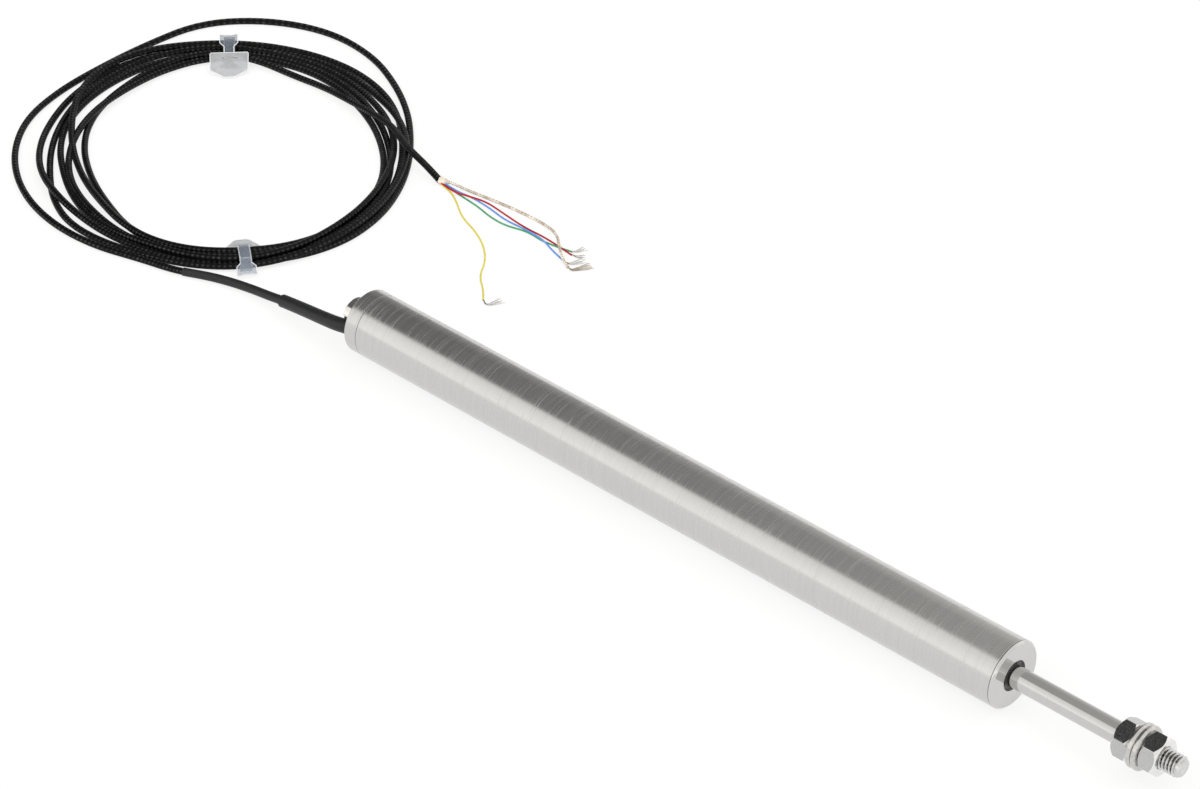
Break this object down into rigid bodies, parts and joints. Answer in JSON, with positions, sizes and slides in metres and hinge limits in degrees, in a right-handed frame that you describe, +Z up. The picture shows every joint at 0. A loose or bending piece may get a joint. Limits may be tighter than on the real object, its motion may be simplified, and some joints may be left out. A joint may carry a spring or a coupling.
{
  "type": "linear variable differential transformer",
  "caption": "Slim steel tube displacement transducer with a sliding threaded push rod, clamp nuts and a coiled cable with bare leads.",
  "frame": {"origin": "on the tube's axis, half way along the body", "axes": "+X along the axis towards the push rod's stud, +Z up from the surface that the part lies on, +Y towards the cable coil's side"},
  "size_m": [0.4577, 0.1367, 0.019],
  "materials": {
    "tube_steel": "stainless steel, brushed round the tube",
    "cap_steel": "stainless steel, turned fine",
    "boss_plating": "bright nickel plate",
    "rod_steel": "ground and polished stainless steel",
    "nut_steel": "bright plated steel",
    "washer_steel": "bright stamped steel",
    "liner_steel": "thin drawn stainless steel",
    "shield_alloy": "annealed high permeability alloy",
    "core_alloy": "annealed nickel iron",
    "winding_copper": "enamelled copper wire, wound even",
    "pin_brass": "tinned brass pins",
    "insulation_tape": "thin polyester tape",
    "board_laminate": "glass epoxy laminate",
    "bobbin_plastic": "machined glass-filled plastic",
    "bush_plastic": "filled bearing plastic",
    "ring_plastic": "white low friction plastic",
    "seal_rubber": "black rubber",
    "grommet_rubber": "black rubber",
    "sleeve_plastic": "black heat-shrink, satin",
    "cable_jacket": "black jacket with braid pattern",
    "clip_plastic": "milky translucent nylon",
    "red_insulation": "red wire insulation",
    "green_insulation": "green wire insulation",
    "blue_insulation": "blue wire insulation",
    "yellow_insulation": "yellow wire insulation",
    "screen_wire": "braided tinned screen, beige tint"
  },
  "bodies": {
    "transducer_body": {"body_tube": "tube_steel", "front_end_cap": "cap_steel", "front_cap_o_ring": "seal_rubber", "guide_bush": "bush_plastic", "wiper_seal": "seal_rubber", "rear_end_cap": "cap_steel", "rear_cap_o_ring": "seal_rubber", "cable_boss": "boss_plating", "cable_grommet": "grommet_rubber", "bore_liner": "liner_steel", "bobbin": "bobbin_plastic", "primary_winding": "winding_copper", "insulation_layer": "insulation_tape", "winding_divider": "bobbin_plastic", "front_secondary_winding": "winding_copper", "rear_secondary_winding": "winding_copper", "magnetic_shield": "shield_alloy", "rear_spacer": "bobbin_plastic", "terminal_board": "board_laminate", "terminal_pins": "pin_brass", "inner_leads": "winding_copper", "inner_cable": "cable_jacket", "large_sleeve": "sleeve_plastic", "small_sleeve": "sleeve_plastic", "cable_coil": "cable_jacket", "far_coil_clip": "clip_plastic", "near_coil_clip": "clip_plastic", "cable_tail": "cable_jacket", "red_wire": "red_insulation", "green_wire": "green_insulation", "blue_wire": "blue_insulation", "yellow_wire": "yellow_insulation", "screen_braid": "screen_wire"},
    "guide_rings": {"front_guide_ring": "ring_plastic", "rear_guide_ring": "ring_plastic"},
    "rod": {"push_rod": "rod_steel", "core": "core_alloy", "core_spacer": "liner_steel", "core_nut": "rod_steel", "inner_nut": "nut_steel", "inner_washer": "washer_steel", "outer_washer": "washer_steel", "outer_nut": "nut_steel"}
  },
  "joints": [
    {"name": "rod_slide", "type": "slide", "parent": "transducer_body", "child": "guide_rings", "axis": [1, 0, 0], "range_m": [-0.003, 0.103]},
    {"name": "rod_spin", "type": "hinge", "parent": "guide_rings", "child": "rod", "pos_m": [0, 0, 0], "axis": [1, 0, 0], "continuous": true}
  ]
}
